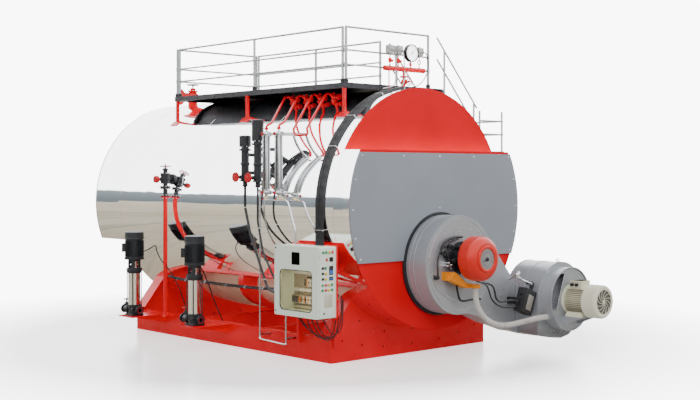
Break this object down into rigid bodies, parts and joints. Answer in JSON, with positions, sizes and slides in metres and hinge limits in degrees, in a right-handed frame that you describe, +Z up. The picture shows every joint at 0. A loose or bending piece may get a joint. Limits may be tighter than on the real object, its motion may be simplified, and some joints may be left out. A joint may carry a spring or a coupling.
{
  "type": "industrial fire-tube boiler",
  "caption": "Horizontal fire-tube steam boiler on a welded skid, with burner, combustion air fan, feed pumps, control cabinet, level gauges, top platform, stair and handrails.",
  "frame": {"origin": "on the floor, at the centre of the four anchor bolts", "axes": "+X towards the fan and the stair, +Y towards the flue and away from the burner, +Z up"},
  "size_m": [4.8239, 8.63, 4.8913],
  "materials": {
    "red_enamel": "gloss",
    "polished_cladding": "polished",
    "grey_sheet": "satin",
    "dark_steel": "satin",
    "grey_paint": "satin",
    "galvanised": "satin",
    "stainless": "polished",
    "orange_cast": "satin",
    "cap_red": "gloss",
    "motor_cream": "satin",
    "cabinet_cream": "satin",
    "window_clear": "clear",
    "gear_grey": "matte",
    "black_cast": "satin",
    "hose_grey": "matte",
    "cable_black": "matte",
    "valve_grey": "satin",
    "gauge_case": "gloss",
    "wheel_red": "satin"
  },
  "bodies": {
    "boiler": {"skid_rail_left": "red_enamel", "skid_rail_right": "red_enamel", "skid_cross_members": "red_enamel", "saddle_front": "red_enamel", "saddle_rear": "red_enamel", "boiler_shell": "polished_cladding", "front_end_plate": "red_enamel", "front_smoke_box": "polished_cladding", "front_door": "red_enamel", "front_cover_sheet": "grey_sheet", "rear_end_plate": "red_enamel", "rear_smoke_box": "polished_cladding", "rear_cover": "grey_sheet", "flue_outlet": "grey_paint", "steam_outlet_valve": "red_enamel", "burner_ring": "dark_steel", "burner_windbox": "grey_paint", "burner_head": "dark_steel", "burner_cap": "cap_red", "burner_bracket": "orange_cast", "air_hose": "hose_grey", "air_duct": "grey_paint", "fan_casing": "grey_paint", "fan_inlet_hood": "grey_paint", "fan_motor": "motor_cream", "damper_control_box": "dark_steel", "platform_deck": "dark_steel", "platform_posts": "red_enamel", "stair_upper": "galvanised", "stair_landing": "galvanised", "stair_lower": "galvanised", "stair_handrails": "galvanised", "steam_header": "red_enamel", "header_instruments": "valve_grey", "pressure_gauge": "gauge_case", "level_chambers": "black_cast", "level_gauge_glasses": "stainless", "sensing_lines": "red_enamel", "drain_pipes": "stainless", "feed_pipe": "red_enamel", "feed_valve": "black_cast", "pump_shelves": "red_enamel", "cabinet_body": "cabinet_cream", "cabinet_gear": "gear_grey", "cabinet_frame": "red_enamel", "cable_harness": "cable_black", "railing_left": "galvanised", "railing_front": "galvanised", "railing_rear": "galvanised", "railing_right": "galvanised", "pump_castings": "black_cast", "pump_sleeves": "stainless", "pump_motors": "black_cast"},
    "cabinet_door": {"cabinet_door": "cabinet_cream", "cabinet_window": "window_clear"},
    "feed_wheel": {"feed_valve_wheel": "wheel_red"},
    "header_wheel": {"header_valve_wheel": "wheel_red"},
    "pump_front_wheel_body": {"pump_front_wheel": "wheel_red"},
    "pump_rear_wheel_body": {"pump_rear_wheel": "wheel_red"}
  },
  "joints": [
    {"name": "cabinet_door_hinge", "type": "hinge", "parent": "boiler", "child": "cabinet_door", "pos_m": [-2.0975, -2.861, 1.19], "axis": [0, 0, 1], "range_deg": [0, 110]},
    {"name": "feed_valve_wheel_turn", "type": "hinge", "parent": "boiler", "child": "feed_wheel", "pos_m": [-1.89, 1.285, 2.83], "axis": [0, 0, 1], "range_deg": [0, 1440]},
    {"name": "header_valve_wheel_turn", "type": "hinge", "parent": "boiler", "child": "header_wheel", "pos_m": [0, -2.507, 4.10506], "axis": [0, -1, 0], "range_deg": [0, 1440]},
    {"name": "pump_front_wheel_turn", "type": "hinge", "parent": "boiler", "child": "pump_front_wheel_body", "pos_m": [-2.17, 0.2843, 0.6003], "axis": [0, 0, 1], "range_deg": [0, 1440]},
    {"name": "pump_rear_wheel_turn", "type": "hinge", "parent": "boiler", "child": "pump_rear_wheel_body", "pos_m": [-2.17, 2.0343, 0.6003], "axis": [0, 0, 1], "range_deg": [0, 1440]}
  ]
}
